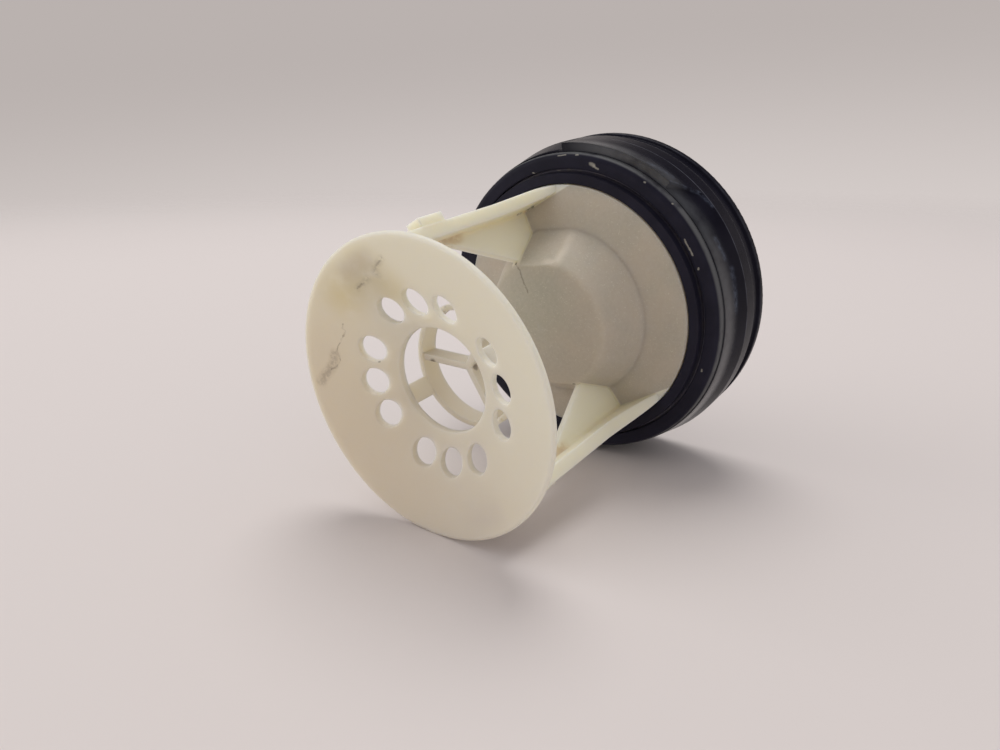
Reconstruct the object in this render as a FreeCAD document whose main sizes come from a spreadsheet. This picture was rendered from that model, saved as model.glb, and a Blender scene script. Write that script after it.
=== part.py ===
import FreeCAD, Part
import Sketcher
import os
import re

# Washer pump filter: a moulded filter insert snapped into a bayonet cap, with a rubber lip seal between them.
# The axis is Y, the dish faces -Y, the finger recess opens towards +Y, and +Z is up.
# The origin is on the axis, in the middle of the collar band that guides the cap in the pump's mouth.

# Driving dimensions, in millimetres and degrees.
sizes = {
    "collar_radius": 33.75,
    "band_width": 3.8,
    "flange_to_band": 10.7,
    "lead_in_radius": 32.3,
    "land_span": 42.5,
    "land_turn": 16.25,
    "ramp_span": 9.0,
    "back_groove_radius": 33.15,
    "back_groove_width": 2.8,
    "groove_bevel": 0.4,
    "back_rim_radius": 33.7,
    "back_rim_width": 1.7,
    "edge_round": 0.5,
    "neck_wall": 2.5,
    "plate_wall": 2.5,
    "mouth_radius": 19.5,
    "boss_wall": 2.0,
    "boss_gap": 0.5,
    "grip_width": 5.0,
    "grip_inset": 1.6,
    "grip_round": 1.2,
    "seal_face": 3.5,
    "seal_depth": 7.0,
    "seal_gap": 0.2,
    "seal_heel_width": 2.8,
    "inner_lip_width": 2.0,
    "inner_lip_inset": 0.2,
    "outer_lip_inset": 1.5,
    "outer_lip_width": 3.0,
    "lip_groove_depth": 2.6,
    "lip_groove_width": 0.5,
    "lip_radius": 32.0,
    "lip_round": 1.1,
    "flange_radius": 26.1,
    "flange_thickness": 2.0,
    "flange_rise": 1.3,
    "hub_base_radius": 17.9,
    "hub_top_radius": 13.4,
    "hub_height": 8.6,
    "dome_rise": 2.3,
    "hub_wall": 2.0,
    "shoulder_round": 2.2,
    "facet_inset": 0.45,
    "facet_top_inset": 0.85,
    "facet_turn": 22.0,
    "leg_roll": 29.0,
    "leg_inner": 22.7,
    "leg_radius": 25.7,
    "leg_half_width": 4.4,
    "foot_half_width": 11.5,
    "foot_length": 13.0,
    "gusset_thickness": 1.4,
    "gusset_tip": 9.0,
    "gusset_reach": 27.5,
    "gusset_round": 0.8,
    "lug_height": 1.4,
    "lug_width": 3.5,
    "lug_length": 6.2,
    "lug_shift": 2.45,
    "lug_from_rim": 15.4,
    "dish_radius": 27.25,
    "dish_depth": 6.6,
    "dish_wall": 1.2,
    "dish_to_flange": 48.6,
    "rim_round": 0.4,
    "throat_radius": 9.7,
    "throat_ring_radius": 10.6,
    "throat_ring_wall": 1.0,
    "throat_ring_width": 3.9,
    "throat_ring_gap": 5.7,
    "post_width": 3.8,
    "post_thickness": 0.8,
    "post_inset": 0.1,
    "spider_thickness": 1.2,
    "spider_depth": 3.2,
    "spider_inset": 0.3,
    "hole_radius": 2.55,
    "hole_circle": 14.65,
    "hole_spacing": 25.2,
    "hole_group_turn": 20.7,
}
leg_count = 2
land_count = 2
post_count = 4
arm_count = 3
hole_group_count = 4

doc = FreeCAD.newDocument("washer_pump_filter")
sheet = doc.addObject("Spreadsheet::Sheet", "Sheet")
for row, (alias, size) in enumerate(sizes.items(), start=1):
    sheet.set(f"A{row}", alias)
    sheet.set(f"B{row}", str(size))
    sheet.setAlias(f"B{row}", alias)
doc.recompute()


def tied(expression):
    """The expression with each size's name pointing at its cell."""
    return re.sub(r"[a-z_]+", lambda word: f"Sheet.{word[0]}" if word[0] in sizes else word[0], expression)


def worth(expression):
    """What the expression comes to with the sheet as it stands."""
    return float(sheet.evalExpression(tied(expression)))


def bind(feature, **expressions):
    """Tie properties to the sheet."""
    for name, expression in expressions.items():
        feature.setExpression(name, tied(expression))


def new_body(label):
    body = doc.addObject("PartDesign::Body", label)
    body.Label = label
    return body


def origin_feature(body, role):
    return next(feature for feature in body.Origin.OriginFeatures if feature.Role == role)


def new_sketch(body, name, plane, turn_axis=None, turn=None, lift=None):
    """An empty sketch on an origin plane, turned about one of its own axes and lifted along its normal."""
    sketch = body.newObject("Sketcher::SketchObject", name)
    sketch.AttachmentSupport = (origin_feature(body, plane), [""])
    sketch.MapMode = "FlatFace"
    if turn:
        turning = FreeCAD.Rotation(FreeCAD.Vector(*turn_axis), worth(turn))
        sketch.AttachmentOffset = FreeCAD.Placement(FreeCAD.Vector(), turning)
        sketch.setExpression("AttachmentOffset.Rotation.Angle", tied(turn))
    if lift:
        for axis, expression in lift.items():
            sketch.setExpression(f"AttachmentOffset.Base.{axis}", tied(expression))
    return sketch


def place(sketch, curve, point, x, y):
    """Hold one point of a curve at x, y from the sketch's origin."""
    for kind, expression, cross_axis in (("DistanceX", x, -2), ("DistanceY", y, -1)):
        reach = worth(expression)
        if abs(reach) < 1e-9:
            sketch.addConstraint(Sketcher.Constraint("PointOnObject", curve, point, cross_axis))
        elif reach > 0:
            index = sketch.addConstraint(Sketcher.Constraint(kind, -1, 1, curve, point, reach))
            sketch.setExpression(f"Constraints[{index}]", tied(expression))
        else:
            index = sketch.addConstraint(Sketcher.Constraint(kind, curve, point, -1, 1, -reach))
            sketch.setExpression(f"Constraints[{index}]", tied(f"-({expression})"))


def outline(sketch, corners, arcs=None):
    """A closed outline through the corners. arcs names the round sides, by the corner they start from:
    "axis" has its centre on the sketch's first axis, "start" and "end" level with that corner."""
    arcs = arcs or {}
    points = [FreeCAD.Vector(worth(x), worth(y), 0) for x, y in corners]
    sides = []
    for side, start in enumerate(points):
        end = points[(side + 1) % len(points)]
        if side not in arcs:
            sketch.addGeometry(Part.LineSegment(start, end), False)
            sides.append((1, 2))
            continue
        level = {"axis": 0.0, "start": start.y, "end": end.y}[arcs[side]]
        spread = (start.x**2 + (start.y - level) ** 2) - (end.x**2 + (end.y - level) ** 2)
        centre = FreeCAD.Vector(spread / (2 * (start.x - end.x)), level, 0)
        first, last = start - centre, end - centre
        anticlockwise = first.x * last.y - first.y * last.x > 0
        if not anticlockwise:
            first, last = last, first
        level_line = FreeCAD.Vector(1, 0, 0)
        turns = [
            direction.getAngle(level_line) * (1 if direction.y >= 0 else -1) for direction in (first, last)
        ]
        circle = Part.Circle(centre, FreeCAD.Vector(0, 0, 1), first.Length)
        sketch.addGeometry(Part.ArcOfCircle(circle, *turns), False)
        sides.append((1, 2) if anticlockwise else (2, 1))
    for side, (start_point, end_point) in enumerate(sides):
        following = (side + 1) % len(sides)
        joined = Sketcher.Constraint("Coincident", side, end_point, following, sides[following][0])
        sketch.addConstraint(joined)
    for side, (start_point, end_point) in enumerate(sides):
        place(sketch, side, start_point, *corners[side])
        if arcs.get(side) == "axis":
            sketch.addConstraint(Sketcher.Constraint("PointOnObject", side, 3, -1))
        elif side in arcs:
            level_point = start_point if arcs[side] == "start" else end_point
            sketch.addConstraint(Sketcher.Constraint("Horizontal", side, 3, side, level_point))
    return sketch


def feature(body, kind, name, sketch, **expressions):
    """A feature made from a sketch, with its sizes tied to the sheet."""
    made = body.newObject(f"PartDesign::{kind}", name)
    made.Profile = sketch
    bind(made, **expressions)
    return made


def revolved(body, name, sketch, kind="Revolution"):
    made = feature(body, kind, name, sketch)
    made.ReferenceAxis = (sketch, ["H_Axis"])
    made.Angle = 360
    return made


def around_axis(body, name, originals, count):
    """Copies of features, evenly spaced about the part's axis."""
    pattern = body.newObject("PartDesign::PolarPattern", name)
    pattern.Originals = originals
    pattern.Axis = (origin_feature(body, "Y_Axis"), [""])
    pattern.Angle = 360
    pattern.Occurrences = count
    body.Tip = pattern
    doc.recompute()
    return pattern


def rounded(body, name, radius, wanted):
    """A fillet on the edges of the body so far that pass the test."""
    doc.recompute()
    base = body.Tip
    edges = [
        f"Edge{number}"
        for number, edge in enumerate(base.Shape.Edges, start=1)
        if not edge.Degenerated and wanted(edge)
    ]
    fillet = body.newObject("PartDesign::Fillet", name)
    fillet.Base = (base, edges)
    bind(fillet, Radius=radius)
    doc.recompute()
    return fillet


def ring_edge(radius, along):
    """A test for a circle about the axis with the given radius and place."""
    def wanted(edge):
        curve = edge.Curve
        if not isinstance(curve, Part.Circle):
            return False
        same_place = abs(curve.Center.y - worth(along)) < 0.01
        return abs(curve.Radius - worth(radius)) < 0.01 and same_place
    return wanted


# Places along the axis, from the middle of the collar band.
band_front = "(-band_width / 2)"
band_back = "(band_width / 2)"
flange_front = f"({band_front} - flange_to_band)"
flange_back = f"({flange_front} + flange_thickness)"
cap_front = f"({flange_front} + seal_face)"
seal_seat = f"({flange_front} + seal_depth)"
back_groove_end = f"({band_back} + back_groove_width + 2 * groove_bevel)"
cap_back = f"({back_groove_end} + back_rim_width)"
plate_front = f"({cap_back} - plate_wall)"
dish_rim = f"({flange_front} - dish_to_flange)"
hub_base = f"({flange_front} - flange_rise)"
hub_shoulder = f"({hub_base} - hub_height)"
hub_crown = f"({hub_shoulder} - dome_rise)"
boss_front = f"({hub_shoulder} + hub_wall + boss_gap)"
recess_floor = f"({boss_front} + boss_wall)"

# The hub's cone: its slope, its wall measured square to the axis, and the bore that the wall leaves.
hub_slope = "((hub_base_radius - hub_top_radius) / hub_height)"
hub_slant = f"(hub_wall * sqrt(1 + {hub_slope} ^ 2))"
bore_at_back = f"(hub_base_radius + {hub_slope} * (flange_rise + flange_thickness) - {hub_slant})"
bore_at_shoulder = f"(hub_top_radius + {hub_slope} * hub_wall - {hub_slant})"
boss_at_back = f"({bore_at_back} - boss_gap)"
boss_at_front = f"({bore_at_shoulder} + {hub_slope} * boss_gap - boss_gap)"

# The dish is a shallow cone around its throat, with a wall of even thickness.
dish_slope = "(dish_depth / (dish_radius - throat_radius))"


def dish_front_at(radius):
    return f"({dish_rim} + {dish_slope} * (dish_radius - {radius}))"


def dish_back_at(radius):
    return f"({dish_front_at(radius)} + dish_wall * sqrt(1 + {dish_slope} ^ 2))"


throat_back = dish_back_at("throat_radius")
ring_front = f"({throat_back} + throat_ring_gap)"
ring_back = f"({ring_front} + throat_ring_width)"


# Filter insert: one moulding in natural plastic, with its legs along its own Z until the body is rolled.
insert = new_body("filter_insert")

# Flange and hollow domed hub in one section.
hub_sketch = new_sketch(insert, "hub_section", "YZ_Plane")
outline(
    hub_sketch,
    [
        (hub_crown, "0"),
        (hub_shoulder, "hub_top_radius"),
        (hub_base, "hub_base_radius"),
        (flange_front, "flange_radius"),
        (flange_back, "flange_radius"),
        (flange_back, bore_at_back),
        (f"{hub_shoulder} + hub_wall", bore_at_shoulder),
        (f"{hub_crown} + hub_wall", "0"),
    ],
    arcs={0: "axis", 6: "axis"},
)
revolved(insert, "hub_and_flange", hub_sketch)
rounded(insert, "hub_shoulder", "shoulder_round", ring_edge("hub_top_radius", hub_shoulder))

# A flat beside each gusset, leaning in a little more than the hub's cone.
facet_sketch = new_sketch(insert, "facet_outline", "YZ_Plane", (1, 0, 0), "facet_turn")
facet_top = f"({hub_crown} - hub_wall)"
facet_reach = "(hub_base_radius + flange_radius)"
facet_slope = "((hub_base_radius - facet_inset - hub_top_radius + facet_top_inset) / hub_height)"
outline(
    facet_sketch,
    [
        (hub_base, "hub_base_radius - facet_inset"),
        (hub_base, facet_reach),
        (facet_top, facet_reach),
        (facet_top, f"hub_base_radius - facet_inset - {facet_slope} * ({hub_base} - {facet_top})"),
    ],
)
facet = feature(insert, "Pocket", "hub_facet", facet_sketch, Length="2 * hub_base_radius")
facet.SideType = "Symmetric"
around_axis(insert, "hub_facets", [facet], leg_count)

# Each leg is a plate with a flat inner face, flared into a wide foot on the flange.
leg_sketch = new_sketch(insert, "leg_outline", "XY_Plane", lift={"z": "leg_inner"})
leg_end = dish_back_at("leg_inner")
foot_end = f"({flange_front} + flange_thickness / 2)"
foot_start = f"({flange_front} - foot_length)"
outline(
    leg_sketch,
    [
        ("-leg_half_width", f"{leg_end} - 0.8 * dish_wall"),
        ("leg_half_width", f"{leg_end} - 0.8 * dish_wall"),
        ("leg_half_width", foot_start),
        ("foot_half_width", foot_end),
        ("-foot_half_width", foot_end),
        ("-leg_half_width", foot_start),
    ],
    arcs={2: "start", 4: "end"},
)
leg = feature(insert, "Pad", "leg", leg_sketch, Length="flange_radius - leg_inner")

# A radial gusset stiffens each leg, from the hub's cone out to the leg's inner face.
gusset_sketch = new_sketch(insert, "gusset_outline", "YZ_Plane")
gusset_foot = f"({flange_front} + flange_thickness / 2)"
cone_at_tip = f"(hub_base_radius - {hub_slope} * (gusset_tip - flange_rise))"
outline(
    gusset_sketch,
    [
        (f"{flange_front} - gusset_tip", f"{cone_at_tip} - hub_wall / 2"),
        (f"{flange_front} - gusset_tip", cone_at_tip),
        (f"{flange_front} - gusset_reach", "leg_inner"),
        (f"{flange_front} - gusset_reach", "(leg_inner + leg_radius) / 2"),
        (gusset_foot, "(leg_inner + leg_radius) / 2"),
        (gusset_foot, "hub_base_radius - hub_wall / 2"),
    ],
)
gusset = feature(insert, "Pad", "gusset", gusset_sketch, Length="gusset_thickness")
gusset.SideType = "Symmetric"
around_axis(insert, "legs", [leg, gusset], leg_count)

# The legs' outer faces are turned round, from the dish end out to the flange's rim.
trim_sketch = new_sketch(insert, "leg_trim", "YZ_Plane")
trim_reach = "(flange_radius + dish_radius)"
outline(
    trim_sketch,
    [
        (f"{dish_rim} - dish_depth", "leg_radius"),
        (foot_start, "leg_radius"),
        (flange_front, "flange_radius"),
        (flange_back, "flange_radius"),
        (flange_back, trim_reach),
        (f"{dish_rim} - dish_depth", trim_reach),
    ],
)
revolved(insert, "leg_faces", trim_sketch, kind="Groove")

# Dish: a thin cone around an open throat.
dish_sketch = new_sketch(insert, "dish_section", "YZ_Plane")
outline(
    dish_sketch,
    [
        (dish_rim, "dish_radius"),
        (dish_front_at("throat_radius"), "throat_radius"),
        (throat_back, "throat_radius"),
        (dish_back_at("dish_radius"), "dish_radius"),
    ],
)
revolved(insert, "dish", dish_sketch)


def rim_edge(edge):
    return isinstance(edge.Curve, Part.Circle) and abs(edge.Curve.Radius - worth("dish_radius")) < 0.01


rounded(insert, "dish_rim_round", "rim_round", rim_edge)

# Posts carry a ring behind the throat, and thin arms cross the ring.
post_sketch = new_sketch(insert, "post_outline", "XZ_Plane", lift={"z": f"-({throat_back} - dish_wall)"})
post_inner = "(throat_ring_radius + post_inset)"
outline(
    post_sketch,
    [
        ("-post_width / 2", post_inner),
        ("post_width / 2", post_inner),
        ("post_width / 2", f"{post_inner} + post_thickness"),
        ("-post_width / 2", f"{post_inner} + post_thickness"),
    ],
)
post = feature(
    insert, "Pad", "post", post_sketch, Length="throat_ring_gap + dish_wall + throat_ring_width / 2"
)
post.Reversed = True
around_axis(insert, "posts", [post], post_count)
ring_sketch = new_sketch(insert, "ring_section", "YZ_Plane")
ring_outer = "(throat_ring_radius + throat_ring_wall)"
outline(
    ring_sketch,
    [
        (ring_front, "throat_ring_radius"),
        (ring_back, "throat_ring_radius"),
        (ring_back, ring_outer),
        (ring_front, ring_outer),
    ],
)
revolved(insert, "throat_ring", ring_sketch)
arm_sketch = new_sketch(insert, "arm_outline", "XZ_Plane", lift={"z": f"-({ring_front} + spider_inset)"})
outline(
    arm_sketch,
    [
        ("-spider_thickness / 2", "spider_thickness / 2"),
        ("spider_thickness / 2", "spider_thickness / 2"),
        ("spider_thickness / 2", "-(throat_ring_radius + throat_ring_wall / 2)"),
        ("-spider_thickness / 2", "-(throat_ring_radius + throat_ring_wall / 2)"),
    ],
)
arm = feature(insert, "Pad", "spider_arm", arm_sketch, Length="spider_depth")
arm.Reversed = True
around_axis(insert, "spider", [arm], arm_count)

# A small lug stands on each leg behind the dish, to one side of the leg's middle.
lug_sketch = new_sketch(insert, "lug_outline", "XY_Plane", lift={"z": "(leg_inner + leg_radius) / 2"})
lug_front = f"({dish_rim} + lug_from_rim)"
outline(
    lug_sketch,
    [
        ("lug_shift - lug_width / 2", lug_front),
        ("lug_shift + lug_width / 2", lug_front),
        ("lug_shift + lug_width / 2", f"{lug_front} + lug_length"),
        ("lug_shift - lug_width / 2", f"{lug_front} + lug_length"),
    ],
)
lug = feature(insert, "Pad", "lug", lug_sketch, Length="lug_height + (leg_radius - leg_inner) / 2")
around_axis(insert, "lugs", [lug], leg_count)

# Small drain holes in groups around the dish.
hole_sketch = new_sketch(
    insert, "hole_outline", "XZ_Plane", (0, 0, 1), "-hole_group_turn", lift={"z": f"-{dish_rim}"}
)
for number, step in enumerate(("-hole_spacing", "0", "hole_spacing")):
    across = f"hole_circle * sin({step})"
    along = f"hole_circle * cos({step})"
    centre = FreeCAD.Vector(worth(across), worth(along), 0)
    hole_sketch.addGeometry(Part.Circle(centre, FreeCAD.Vector(0, 0, 1), worth("hole_radius")), False)
    place(hole_sketch, number, 3, across, along)
    bore = hole_sketch.addConstraint(Sketcher.Constraint("Radius", number, worth("hole_radius")))
    hole_sketch.setExpression(f"Constraints[{bore}]", tied("hole_radius"))
holes = feature(insert, "Pocket", "holes", hole_sketch, Length="dish_depth + dish_wall")
around_axis(insert, "hole_ring", [holes], hole_group_count)


def gusset_corner(edge):
    """The straight inner corners where a gusset meets its leg."""
    ends = [vertex.Point for vertex in edge.Vertexes]
    if len(ends) != 2 or not isinstance(edge.Curve, Part.Line):
        return False
    at_leg = all(abs(abs(end.z) - worth("leg_inner")) < 0.01 for end in ends)
    at_gusset = all(abs(abs(end.x) - worth("gusset_thickness / 2")) < 0.01 for end in ends)
    along_axis = abs(ends[0].x - ends[1].x) < 0.01
    return at_leg and at_gusset and along_axis


rounded(insert, "gusset_corners", "gusset_round", gusset_corner)
insert.Placement = FreeCAD.Placement(FreeCAD.Vector(), FreeCAD.Rotation(FreeCAD.Vector(0, 1, 0), -1))
insert.setExpression("Placement.Rotation.Angle", tied("-leg_roll"))


# Bayonet cap: one black moulding, a deep cup that carries the insert, the seal and the finger recess.
cap = new_body("bayonet_cap")
neck_inner = "(flange_radius - neck_wall)"
seal_pocket = "(flange_radius + 2 * seal_gap + seal_heel_width)"
recess_at_back = f"({boss_at_back} - boss_wall * sqrt(1 + {hub_slope} ^ 2))"
recess_at_floor = f"({boss_at_front} + {hub_slope} * boss_wall - boss_wall * sqrt(1 + {hub_slope} ^ 2))"
cap_sketch = new_sketch(cap, "cap_section", "YZ_Plane")
outline(
    cap_sketch,
    [
        (boss_front, "0"),
        (boss_front, boss_at_front),
        (flange_back, boss_at_back),
        (plate_front, "mouth_radius + boss_wall / 2"),
        (plate_front, neck_inner),
        (flange_back, neck_inner),
        (flange_back, "flange_radius"),
        (seal_seat, "flange_radius"),
        (seal_seat, seal_pocket),
        (cap_front, seal_pocket),
        (cap_front, "lead_in_radius"),
        (band_front, "collar_radius"),
        (band_back, "collar_radius"),
        (f"{band_back} + groove_bevel", "back_groove_radius"),
        (f"{back_groove_end} - groove_bevel", "back_groove_radius"),
        (back_groove_end, "back_rim_radius"),
        (cap_back, "back_rim_radius"),
        (cap_back, "mouth_radius"),
        (flange_back, recess_at_back),
        (recess_floor, recess_at_floor),
        (recess_floor, "0"),
    ],
)
revolved(cap, "cap_cup", cap_sketch)

# Bayonet lands stand on the collar's sloping lead-in, each with one end that runs off along a ramp.
land_root = f"((lead_in_radius + {seal_pocket}) / 2)"
land_sketch = new_sketch(cap, "land_section", "YZ_Plane", (1, 0, 0), "land_turn")
outline(
    land_sketch,
    [
        (cap_front, land_root),
        ("0", land_root),
        ("0", "collar_radius"),
        (cap_front, "collar_radius"),
    ],
)
land = revolved(cap, "land", land_sketch)
land.Midplane = True
bind(land, Angle="land_span")
ramp_turn = "(land_turn + (land_span + ramp_span) / 2)"
ramp_sketch = new_sketch(
    cap,
    "ramp_outline",
    "XY_Plane",
    (0, 1, 0),
    ramp_turn,
    lift={"x": f"{land_root} * sin({ramp_turn})", "z": f"{land_root} * cos({ramp_turn})"},
)
ramp_half = "(collar_radius * tan(ramp_span / 2))"
outline(
    ramp_sketch,
    [
        (f"-2 * {ramp_half}", cap_front),
        (f"-{ramp_half}", cap_front),
        (ramp_half, band_front),
        (ramp_half, "0"),
        (f"-2 * {ramp_half}", "0"),
    ],
)
ramp = feature(cap, "Pad", "ramp", ramp_sketch, Length=f"2 * (collar_radius - {land_root})")
around_axis(cap, "bayonet", [land, ramp], land_count)

# The collar is turned to one diameter over lands and ramps.
collar_sketch = new_sketch(cap, "collar_trim", "YZ_Plane")
collar_reach = "(2 * collar_radius)"
outline(
    collar_sketch,
    [
        (flange_front, "collar_radius"),
        ("0", "collar_radius"),
        ("0", collar_reach),
        (flange_front, collar_reach),
    ],
)
revolved(cap, "collar_face", collar_sketch, kind="Groove")

# A bar across the finger recess is the grip.
grip_sketch = new_sketch(cap, "grip_outline", "YZ_Plane")
grip_top = f"({cap_back} - grip_inset)"
grip_foot = f"({recess_floor} - boss_wall / 2)"
grip_at_foot = f"({recess_at_floor} + boss_wall / 2)"
grip_at_back = f"({recess_at_back} + boss_wall / 2)"
mouth_slope = f"((mouth_radius - {recess_at_back}) / ({cap_back} - {flange_back}))"
grip_at_top = f"(mouth_radius + boss_wall / 2 - grip_inset * {mouth_slope})"
outline(
    grip_sketch,
    [
        (grip_foot, f"-{grip_at_foot}"),
        (flange_back, f"-{grip_at_back}"),
        (grip_top, f"-{grip_at_top}"),
        (grip_top, grip_at_top),
        (flange_back, grip_at_back),
        (grip_foot, grip_at_foot),
    ],
)
grip = feature(cap, "Pad", "grip", grip_sketch, Length="grip_width")
grip.SideType = "Symmetric"


def grip_edge(edge):
    """The two long upper edges of the grip bar."""
    ends = [vertex.Point for vertex in edge.Vertexes]
    if len(ends) != 2 or not isinstance(edge.Curve, Part.Line):
        return False
    at_top = all(abs(end.y - worth(grip_top)) < 0.01 for end in ends)
    return at_top and all(abs(abs(end.x) - worth("grip_width / 2")) < 0.01 for end in ends)


rounded(cap, "grip_edges", "grip_round", grip_edge)


def collar_edge(edge):
    """The outer edges of the back rim and the back edge of the collar band."""
    tests = (
        ring_edge("collar_radius", band_back),
        ring_edge("back_rim_radius", back_groove_end),
        ring_edge("back_rim_radius", cap_back),
    )
    return any(test(edge) for test in tests)


rounded(cap, "collar_edges", "edge_round", collar_edge)


# Lip seal: a rubber ring stretched over the cap's neck, with a groove in its front face.
seal = new_body("lip_seal")
seal_inner = "(flange_radius + seal_gap)"
groove_inner = f"({seal_inner} + inner_lip_width)"
groove_outer = "(lip_radius - outer_lip_width)"
seal_sketch = new_sketch(seal, "seal_section", "YZ_Plane")
outline(
    seal_sketch,
    [
        (f"{flange_front} + inner_lip_inset", seal_inner),
        (f"{flange_front} + inner_lip_inset", groove_inner),
        (f"{flange_front} + lip_groove_depth", f"({groove_inner} + {groove_outer} - lip_groove_width) / 2"),
        (f"{flange_front} + lip_groove_depth", f"({groove_inner} + {groove_outer} + lip_groove_width) / 2"),
        (f"{flange_front} + outer_lip_inset", groove_outer),
        (f"{flange_front} + outer_lip_inset", "lip_radius"),
        (cap_front, "lip_radius"),
        (cap_front, f"{seal_inner} + seal_heel_width"),
        (seal_seat, f"{seal_inner} + seal_heel_width"),
        (seal_seat, seal_inner),
    ],
)
revolved(seal, "seal_ring", seal_sketch)
rounded(seal, "seal_lip", "lip_round", ring_edge("lip_radius", f"{flange_front} + outer_lip_inset"))

doc.recompute()
for item in doc.Objects:
    if "Invalid" in item.State or "Error" in item.State:
        raise RuntimeError(f"{item.Label} did not compute: {item.State}")
bodies = (insert, cap, seal)
for body in bodies:
    if body.Shape.isNull() or not body.Shape.isValid() or len(body.Shape.Solids) != 1:
        raise RuntimeError(f"{body.Label} is not one valid solid")
os.makedirs("parts", exist_ok=True)
for body in bodies:
    body.Shape.exportStep(f"parts/{body.Label}.step")
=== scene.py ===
import math

import bmesh
import bpy
from mathutils import Matrix, Vector

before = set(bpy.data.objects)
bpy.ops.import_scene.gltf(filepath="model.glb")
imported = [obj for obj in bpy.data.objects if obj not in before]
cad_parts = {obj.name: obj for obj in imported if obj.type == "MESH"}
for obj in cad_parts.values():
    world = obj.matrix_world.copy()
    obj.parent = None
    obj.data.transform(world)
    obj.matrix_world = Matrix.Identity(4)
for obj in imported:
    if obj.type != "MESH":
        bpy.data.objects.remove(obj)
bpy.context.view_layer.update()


# Filter insert: dish, throat, legs, flange and hub in one injection moulding of natural, milky plastic.
# It is snapped into the cap. Years of lint and rusty water have stained the dish; dark spots mark the
# gussets' tips, and painted shade darkens a crease down the hub and the corner where the upper leg
# meets the flange.
class Tone:
    """A number, place or colour in a finish. Sums on it add the nodes that work them out."""

    def __init__(self, tree, socket):
        self.tree = tree
        self.socket = socket

    def node(self, kind, settings=None, sockets=None, out=0):
        made = self.tree.nodes.new(kind)
        for name, setting in (settings or {}).items():
            setattr(made, name, setting)
        for name, given in (sockets or {}).items():
            if isinstance(given, Tone):
                self.tree.links.new(given.socket, made.inputs[name])
            else:
                made.inputs[name].default_value = given
        return Tone(self.tree, made.outputs[out])

    def maths(self, operation, *values):
        return self.node("ShaderNodeMath", {"operation": operation}, dict(enumerate(values)))

    def __add__(self, other):
        return self.maths("ADD", self, other)

    def __radd__(self, other):
        return self.maths("ADD", other, self)

    def __sub__(self, other):
        return self.maths("SUBTRACT", self, other)

    def __rsub__(self, other):
        return self.maths("SUBTRACT", other, self)

    def __mul__(self, other):
        return self.maths("MULTIPLY", self, other)

    def __rmul__(self, other):
        return self.maths("MULTIPLY", other, self)

    def __pow__(self, other):
        return self.maths("POWER", self, other)

    def __abs__(self):
        return self.maths("ABSOLUTE", self)

    def most(self, other):
        return self.maths("MAXIMUM", self, other)

    def least(self, other):
        return self.maths("MINIMUM", self, other)

    def rise(self, low, high):
        """From 0 at low to 1 at high, softly; low may be the greater."""
        if low > high:
            return 1 - self.rise(high, low)
        settings = {"interpolation_type": "SMOOTHSTEP"}
        sockets = {"Value": self, "From Min": low, "From Max": high}
        return self.node("ShaderNodeMapRange", settings, sockets)

    def near(self, middle, reach):
        """1 at the middle, falling softly to 0 at the reach."""
        return abs(self - middle).rise(reach, 0.0)

    def blend(self, under, over):
        """The colour under, painted with the colour over as far as this mask says."""
        sockets = {"Factor": self, "A": under, "B": over}
        return self.node("ShaderNodeMix", {"data_type": "RGBA"}, sockets, out=2)

    def turn(self, under, over):
        """The direction under, turned to the direction over as far as this mask says."""
        sockets = {0: self, 4: under, 5: over}
        return self.node("ShaderNodeMix", {"data_type": "VECTOR"}, sockets, out=1)

    def vector(self, operation, *given, out=0):
        return self.node("ShaderNodeVectorMath", {"operation": operation}, dict(enumerate(given)), out)

    def scaled(self, place, size):
        """A place or direction, made longer or shorter."""
        return self.node("ShaderNodeVectorMath", {"operation": "SCALE"}, {0: place, "Scale": size})

    def cloud(self, scale, detail=3.0, roughness=0.55, out=0):
        """Soft noise around 0.5 at this place."""
        sockets = {"Vector": self, "Scale": scale, "Detail": detail, "Roughness": roughness}
        return self.node("ShaderNodeTexNoise", None, sockets, out)

    def shaken(self, scale, reach):
        """This place pushed about by noise, so that a line drawn on it wanders."""
        push = self.vector("SUBTRACT", self.cloud(scale, out="Color"), (0.5, 0.5, 0.5))
        return self.vector("ADD", self, self.scaled(push, 2 * reach))

    def from_line(self, *points):
        """How far this place is from a line through the points."""
        nearest = None
        for start, end in zip(points, points[1:]):
            run = Vector(end) - Vector(start)
            out = self.vector("SUBTRACT", self, start)
            share = out.vector("DOT_PRODUCT", out, run / run.length_squared, out="Value")
            foot = out.scaled(run, share.least(1.0).most(0.0))
            gap = out.vector("DISTANCE", out, foot, out="Value")
            nearest = gap if nearest is None else nearest.least(gap)
        return nearest

    def from_point(self, point):
        return self.vector("DISTANCE", self, point, out="Value")


def shade(red, green, blue):
    """A colour as it is read from a screen, turned into light."""
    levels = [level / 255 for level in (red, green, blue)]
    light = [level / 12.92 if level < 0.04045 else ((level + 0.055) / 1.055) ** 2.4 for level in levels]
    return (*light, 1.0)


def new_finish(name):
    """An empty material: it, its shader, and the place on the piece in millimetres."""
    material = bpy.data.materials.new(name)
    material.use_nodes = True
    tree = material.node_tree
    metres = Tone(tree, tree.nodes.new("ShaderNodeTexCoord").outputs["Object"])
    return material, tree.nodes["Principled BSDF"], metres.scaled(metres, 1000.0)


def give(shader, socket, tone):
    """Let this tone vary a setting of the shader over the surface."""
    shader.id_data.links.new(tone.socket, shader.inputs[socket])


def parts_of(spot):
    """The three numbers of a place."""
    split = spot.node("ShaderNodeSeparateXYZ", None, {0: spot})
    return [Tone(spot.tree, output) for output in split.socket.node.outputs]


def off_axis(across, up):
    """How far a place is from the axis, by its two distances across it."""
    return (across * across + up * up) ** 0.5


def rounded(spot, radius, samples=5):
    """The surface's direction, as if its edges were rounded off to this radius in metres."""
    return spot.node("ShaderNodeBevel", {"samples": samples}, {"Radius": radius})


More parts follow.
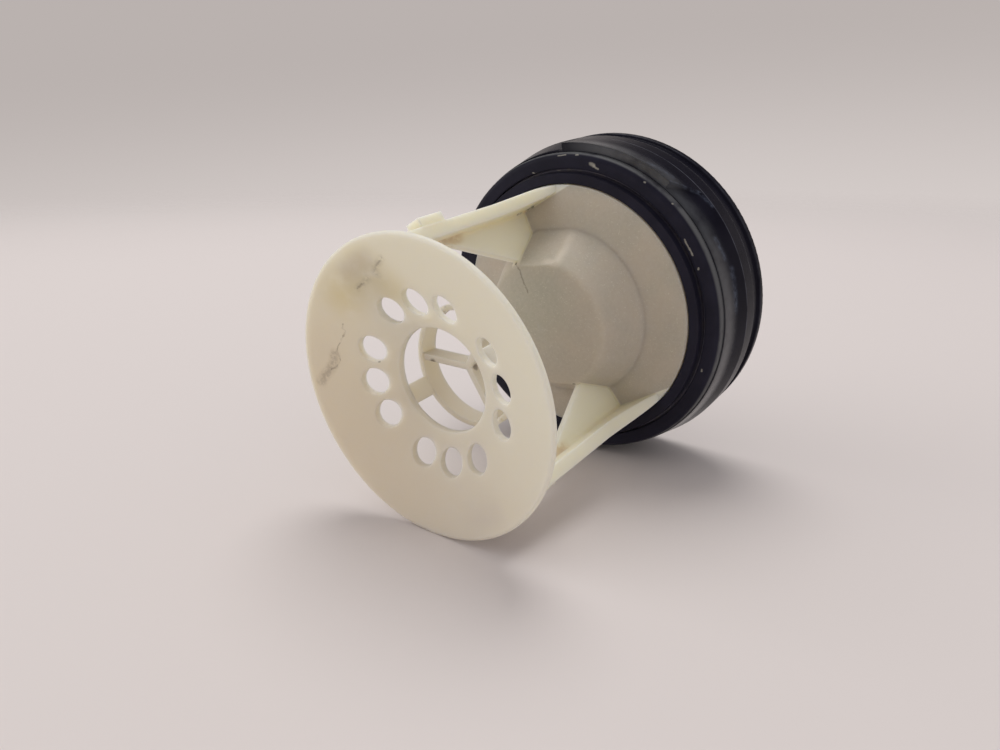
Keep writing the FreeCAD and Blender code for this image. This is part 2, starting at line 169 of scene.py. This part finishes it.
def skin(shader, spot, direction, strength, scale):
    """The faint unevenness of a moulded surface."""
    sockets = {"Strength": strength, "Distance": 0.0002, "Height": spot.cloud(scale)}
    sockets["Normal"] = direction
    give(shader, "Normal", spot.node("ShaderNodeBump", None, sockets))


def dress(name, material):
    """Put a finish on a piece of the filter."""
    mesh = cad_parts[name].data
    mesh.materials.clear()
    mesh.materials.append(material)


natural, shader, spot = new_finish("natural_plastic")
x, y, z = parts_of(spot)
radius = off_axis(x, z)
leg_roll = math.radians(29)
along_leg = abs(z * math.cos(leg_roll) - x * math.sin(leg_roll))
across_leg = abs(x * math.cos(leg_roll) + z * math.sin(leg_roll))
wandering = spot.shaken(0.8, 0.3).shaken(2.4, 0.14)

# The legs are painted paler than the dish, and the dish lighter towards its upper right and darker
# towards its lower left: painted light. The thick hub and flange are greyer, with pale grains in them.
painted_light_slope = (0.6 * x + 0.8 * z + 14 * spot.cloud(0.08)).rise(-20.0, 30.0)
milky_with_painted_light = painted_light_slope.blend(shade(214, 203, 187), shade(224, 219, 204))
on_leg = along_leg.rise(22.2, 22.6).most(across_leg.rise(1.4, 0.9) * along_leg.rise(12.8, 14.0))
hub = y.rise(-27.0, -25.0) * (1 - on_leg)
limb = y.rise(-53.0, -50.0) * radius.rise(12.0, 13.5) * (1 - hub)
colour = limb.blend(milky_with_painted_light, shade(240, 234, 212))
stone = spot.cloud(0.09).rise(0.35, 0.65).blend(shade(190, 182, 166), shade(198, 187, 170))
stone = (spot.from_point((-1.5, -24.0, 4.5)).rise(13.0, 3.0) * 0.7).blend(stone, shade(182, 180, 162))
stone = (spot.cloud(1.4, 4.0, 0.7).rise(0.35, 0.65) * 0.3).blend(stone, shade(206, 199, 184))
grain = spot.cloud(3.2, 1.0).rise(0.62, 0.72) * spot.cloud(0.25).rise(0.3, 0.6)
stone = (grain * 0.5).blend(stone, shade(222, 218, 204))
# Painted highlight, with a little pale wear, along the ridge at the edge of the hub's facet.
ridge_highlight = spot.from_line(
    (0.7, -22.0, 13.0), (3.2, -22.3, 13.0), (3.2, -20.8, 13.9), (3.0, -18.5, 15.2), (2.7, -15.7, 16.7)
)
stone = (ridge_highlight.rise(1.5, 0.2) * spot.cloud(0.5).rise(0.1, 0.6) * 0.5).blend(stone, shade(224, 214, 198))
colour = hub.blend(colour, stone)

# Two cracks in the dish: fine dark lines in a soft olive tint, and in a grey smudge.
soot_and_shade = shade(84, 72, 50)
tint = spot.from_line((-16.2, -59.2, 14.7), (-9.7, -59.3, 19.8), (-6.8, -57.4, 16.6)).rise(7.0, 0.0)
colour = (tint * spot.cloud(0.3).rise(0.1, 0.6) * 0.3).blend(colour, shade(186, 168, 96))
broken = spot.cloud(0.9, 3.0).rise(0.36, 0.6)
crack_start = wandering.from_line(
    (-5.2, -59.6, 22.4), (-6.3, -59.3, 21.4), (-7.4, -59.2, 20.5),
    (-8.1, -58.9, 19.4), (-7.6, -58.7, 19.1),
)
crack_end = wandering.from_line((-9.9, -58.8, 18.3), (-11.3, -58.7, 17.3), (-13.0, -58.7, 16.1))
upper_crack = crack_start.least(crack_end)
colour = (upper_crack.rise(1.1, 0.0) * broken * 0.18).blend(colour, soot_and_shade)
colour = (upper_crack.rise(0.3, 0.05) * broken * 0.35).blend(colour, soot_and_shade)
smudge = wandering.from_line((-21.4, -59.0, 2.9), (-21.9, -59.2, 1.0), (-24.8, -60.3, -2.6))
grimy = spot.cloud(1.3, 4.0, 0.7).rise(0.35, 0.6)
colour = (smudge.rise(1.5, 0.1) * (grimy * 0.28 + 0.1)).blend(colour, shade(104, 97, 86))
left_crack = wandering.from_line(
    (-18.2, -58.6, 8.9), (-18.7, -58.6, 8.2), (-18.2, -58.4, 7.6), (-20.1, -58.8, 4.9),
    (-20.8, -58.9, 3.6), (-20.4, -58.7, 1.7), (-21.3, -59.0, 0.5), (-22.5, -59.4, -0.2),
)
colour = (left_crack.rise(0.22, 0.05) * broken.most(0.3) * 0.42).blend(colour, soot_and_shade)

# Dirt caught at hole edges and on the throat's arm, and dark spots at the gussets' tips.
specks = (
    ((-7.7, -54.7, 9.7), 0.35, 0.6), ((-13.2, -56.0, 1.8), 0.3, 0.5), ((-8.3, -47.0, -0.7), 1.1, 0.9),
    ((0.9, -46.2, -0.3), 0.8, 0.5), ((6.1, -22.2, -11.9), 0.5, 0.6), ((-6.6, -22.1, 11.9), 0.5, 0.7),
)
for point, reach, depth in specks:
    speck = spot.shaken(1.2, 0.3).from_point(point).rise(reach, 0.4 * reach)
    colour = (speck * depth).blend(colour, shade(62, 52, 40))
# Painted shade: a dark line along the crease that runs down the hub from the upper gusset's tip.
hub_crease_shade = wandering.from_line(
    (-6.6, -22.1, 11.9), (-5.0, -23.0, 10.9), (-4.3, -23.4, 9.5), (-2.6, -24.1, 7.0)
)
colour = (hub_crease_shade.rise(0.3, 0.05) * 0.45).blend(colour, soot_and_shade)
# Painted shade in the corner where the upper leg meets the flange.
leg_corner_shade = wandering.from_line((-10.0, -15.7, 20.3), (-9.8, -13.4, 20.5), (-7.9, -13.2, 21.6))
colour = (leg_corner_shade.rise(0.45, 0.1) * broken * 0.6).blend(colour, soot_and_shade)
under_leg = along_leg.rise(20.6, 21.6) * across_leg.rise(1.6, 1.0)
tide = y.rise(-32.5, -35.5) * y.rise(-42.0, -39.5) * under_leg
colour = (tide * spot.cloud(0.6).rise(0.2, 0.6) * 0.5).blend(colour, shade(192, 164, 120))
give(shader, "Base Color", colour)
give(shader, "Roughness", spot.cloud(0.3) * 0.2 + 0.4 + hub * 0.1)

# The hub runs into the flange in a wide hollow curve; other edges are only just broken.
hub_foot_radius = 17.9
hub_foot_at = -13.9
from_foot = (radius - hub_foot_radius) ** 2 + (y - hub_foot_at) ** 2
by_foot = from_foot.rise(30.0, 6.0) * (1 - on_leg)
skin(shader, spot, by_foot.turn(rounded(spot, 0.0005), rounded(spot, 0.0035, 8)), 0.1, 2.5)
shader.inputs["Subsurface Weight"].default_value = 1.0
shader.inputs["Subsurface Scale"].default_value = 0.0035
shader.inputs["Subsurface Radius"].default_value = (1.0, 0.93, 0.75)
dress("filter_insert", natural)


# Lip seal: one moulded rubber ring with a groove in its face, stretched over the cap's neck.
# Its outer lip is rubbed grey by the pump's mouth, a grey that is also a painted highlight on its edge,
# and scale has dried to pale crumbs in the groove.
rubber, shader, spot = new_finish("seal_rubber")
x, y, z = parts_of(spot)
radius = off_axis(x, z)
colour = spot.cloud(0.15).rise(0.3, 0.7).blend(shade(31, 30, 42), shade(37, 36, 50))
# The grey on the lip's outer edge is wear, and a painted highlight along its rounded edge.
rubbed_and_highlight = radius.rise(31.6, 31.95) * spot.cloud(0.25).rise(0.15, 0.55)
colour = (rubbed_and_highlight * 0.5).blend(colour, shade(126, 127, 126))
# Painted light: the groove's floor is painted lighter to undo the shade in it; brown dust lies in it
# too.
groove_light_and_dust = radius.near(28.65, 0.5) * y.rise(-11.2, -10.6)
colour = (groove_light_and_dust * 0.7).blend(colour, shade(128, 124, 138))
colour = (groove_light_and_dust * spot.cloud(0.4).rise(0.46, 0.7) * 0.4).blend(colour, shade(140, 130, 112))
# Pale crumbs of scale in the groove and on the lip; the thin line at the groove's upper left and the
# small ticks on the upper part of the lip's outer edge are painted glints.
crumbs_and_glints = (
    ((4.8, -11.1, 30.0), (5.6, -11.1, 29.7), 0.5), ((5.6, -11.1, 29.6), (6.4, -11.1, 29.1), 0.35),
    ((24.6, -11.1, 16.6), (26.2, -11.1, 13.9), 0.25), ((27.4, -11.1, 11.5), (27.4, -11.1, 11.3), 0.25),
    ((-8.9, -11.1, 27.9), (-3.0, -10.0, 28.4), 0.2), ((-2.7, -10.9, 31.4), (-0.9, -10.8, 31.6), 0.2),
    ((1.4, -10.8, 31.6), (1.8, -10.8, 31.6), 0.25), ((16.3, -11.0, 26.9), (16.5, -11.0, 26.8), 0.25),
    ((21.8, -10.6, 23.1), (21.9, -10.6, 23.0), 0.25), ((28.6, -11.1, -8.7), (28.6, -11.1, -9.0), 0.3),
)
for start, end, reach in crumbs_and_glints:
    pale_fleck = spot.shaken(1.6, 0.25).from_line(start, end).rise(reach, 0.2 * reach)
    colour = (pale_fleck * 0.65).blend(colour, shade(176, 172, 160))
give(shader, "Base Color", colour)
give(shader, "Roughness", spot.cloud(0.5) * 0.15 + 0.38)
shader.inputs["Specular IOR Level"].default_value = 0.12
skin(shader, spot, rounded(spot, 0.0003), 0.12, 3.0)
dress("lip_seal", rubber)


# Bayonet cap: one black moulding with a polished collar; the insert snaps into its neck.
# Turning it in and out of the pump has scuffed the lead-in and the lands; painted highlights lie along
# the collar's edges and the land's ramp, and a painted sheen on the lead-in.
black, shader, spot = new_finish("black_plastic")
x, y, z = parts_of(spot)
radius = off_axis(x, z)
colour = spot.cloud(0.15).rise(0.3, 0.7).blend(shade(23, 22, 31), shade(29, 28, 38))
# The lead-in is scuffed grey; on the side towards +x the grey is also a painted sheen where the light
# falls.
sheen_side = x.rise(-6.0, 8.0)
lead_in = y.rise(-4.5, -8.5) * radius.rise(32.0, 32.2) * sheen_side
colour = (lead_in * spot.cloud(0.2).rise(0.2, 0.65) * 0.5).blend(colour, shade(96, 98, 102))
outside = radius.rise(32.9, 33.1)
# Painted highlights along the collar's band and rim edges.
band_edges = y.near(-1.9, 0.22).most(y.near(1.8, 0.3))
rim_edges = y.near(5.6, 0.3).most(y.near(7.1, 0.3))
edge_highlights = (band_edges + 0.4 * rim_edges) * outside
colour = (edge_highlights * spot.cloud(0.3).rise(0.25, 0.7) * 0.5).blend(colour, shade(116, 118, 128))
# Bluish scuffs on the lead-in and the land; the pale line up the land's ramp and on along the band's
# front edge is a painted highlight.
scuffs_and_edge_glints = (
    ((15.8, -7.7, 29.8), (19.8, -6.6, 27.4), 0.5), ((20.5, -8.6, 26.8), (23.8, -3.0, 23.7), 0.3),
    ((23.8, -3.0, 23.7), (26.0, -2.3, 21.4), 0.4), ((28.7, -6.4, 16.0), (30.4, -6.1, 12.4), 0.5),
    ((31.5, -5.1, 10.0), (32.9, -5.8, 2.4), 0.6),
)
for start, end, reach in scuffs_and_edge_glints:
    patchiness = spot.cloud(0.9, 4.0, 0.7).rise(0.3, 0.75)
    mark = spot.from_line(start, end).rise(2.0 * reach, 0.0) * patchiness
    colour = (mark * 0.35).blend(colour, shade(120, 130, 150))
give(shader, "Base Color", colour)
give(shader, "Roughness", spot.cloud(0.5) * 0.1 + 0.2 + lead_in * 0.1)
shader.inputs["Specular IOR Level"].default_value = 0.04
outside_seal = radius.rise(31.9, 32.1)
give(shader, "Coat Weight", y.rise(-5.0, -8.0) * outside_seal * sheen_side)
shader.inputs["Coat Roughness"].default_value = 0.25
by_front = y.rise(-3.5, -6.0) * outside_seal
skin(shader, spot, by_front.turn(rounded(spot, 0.0004), rounded(spot, 0.002, 8)), 0.08, 2.0)
dress("bayonet_cap", black)


# The filter lies on a pale sheet, on its dish's rim and the front of its collar.
# Far behind, the sheet fades into the backdrop.
dish_rest = Vector((0.0, -0.0608, -0.0272))
collar_rest = Vector((0.0, -0.0091, -0.03375))
floor_slope = math.atan2(dish_rest.z - collar_rest.z, collar_rest.y - dish_rest.y)
bm = bmesh.new()
bmesh.ops.create_circle(bm, cap_ends=True, segments=96, radius=1.6)
bmesh.ops.rotate(bm, verts=bm.verts, matrix=Matrix.Rotation(-floor_slope, 3, "X"))
bmesh.ops.translate(bm, verts=bm.verts, vec=(dish_rest + collar_rest) / 2)
sheet = bpy.data.meshes.new("floor")
bm.to_mesh(sheet)
bm.free()
floor = bpy.data.objects.new("floor", sheet)
bpy.context.scene.collection.objects.link(floor)
paper, shader, spot = new_finish("floor_paper")
shader.inputs["Base Color"].default_value = shade(222, 214, 211)
shader.inputs["Roughness"].default_value = 0.9
shader.inputs["Specular IOR Level"].default_value = 0.1
x, y, z = parts_of(spot)
far_off = off_axis(x, y).rise(300.0, 1050.0)
bare = spot.node("ShaderNodeNewGeometry", out="Backfacing").most(far_off)
clear = spot.node("ShaderNodeBsdfTransparent")
solid = Tone(spot.tree, shader.outputs[0])
faded = spot.node("ShaderNodeMixShader", None, {0: bare, 1: solid, 2: clear})
paper.node_tree.links.new(faded.socket, paper.node_tree.nodes["Material Output"].inputs["Surface"])
sheet.materials.append(paper)


# Soft daylight from a window above and behind, and from the wall on the left, in a pale room.
# Seen directly or in a reflection, the room is a plain backdrop that darkens upwards.
def lamp(name, size, power, place, colour):
    """A soft round lamp that points at the filter."""
    light = bpy.data.lights.new(name, "AREA")
    light.shape = "DISK"
    light.size = size
    light.energy = power
    light.color = colour
    holder = bpy.data.objects.new(name, light)
    holder.location = place
    holder.rotation_euler = (Vector((0, -0.02, 0)) - Vector(place)).to_track_quat("-Z", "Y").to_euler()
    bpy.context.scene.collection.objects.link(holder)


lamp("window", size=0.8, power=5.6, place=(-0.22, 0.4, 1.05), colour=(1.0, 0.99, 0.97))
lamp("left_wall", size=1.4, power=4.6, place=(-1.1, -0.7, 0.6), colour=(1.0, 0.98, 0.95))
world = bpy.data.worlds.new("room")
bpy.context.scene.world = world
world.use_nodes = True
tree = world.node_tree
walls = tree.nodes["Background"]
walls.inputs["Color"].default_value = shade(214, 212, 214)
walls.inputs["Strength"].default_value = 0.8
rays = tree.nodes.new("ShaderNodeLightPath").outputs
seen = Tone(tree, rays["Is Camera Ray"]).most(Tone(tree, rays["Is Glossy Ray"]))
seen = seen.most(Tone(tree, rays["Is Transmission Ray"]))
height = parts_of(Tone(tree, tree.nodes.new("ShaderNodeTexCoord").outputs["Generated"]))[2]
haze = height.rise(-0.22, 0.02).blend(shade(212, 204, 201), shade(186, 178, 175))
haze = height.rise(0.2, 0.42).blend(haze, shade(70, 68, 70))
backdrop = seen.node("ShaderNodeBackground", None, {"Color": haze, "Strength": 1.0})
room = seen.node("ShaderNodeMixShader", None, {0: seen, 1: Tone(tree, walls.outputs[0]), 2: backdrop})
tree.links.new(room.socket, tree.nodes["World Output"].inputs["Surface"])
bpy.context.scene.view_settings.view_transform = "Standard"


# The camera stands in front and to the right, a little above.
# Its place and turn are those that the rims' ellipses call for.
camera_place = Vector((0.0850, -0.1448, 0.0515))
camera_data = bpy.data.cameras.new("camera")
camera_data.sensor_width = 36.0
camera_data.lens = 28.08
camera_data.clip_start = 0.01
camera = bpy.data.objects.new("camera", camera_data)
forward = Vector((-0.576, 0.722, -0.383)).normalized()
right = Vector((0.798, 0.598, -0.074))
right = (right - forward * right.dot(forward)).normalized()
up = right.cross(forward)
camera.matrix_world = Matrix(
    (
        (right.x, up.x, -forward.x, camera_place.x),
        (right.y, up.y, -forward.y, camera_place.y),
        (right.z, up.z, -forward.z, camera_place.z),
        (0, 0, 0, 1),
    )
)
bpy.context.scene.collection.objects.link(camera)
bpy.context.scene.camera = camera
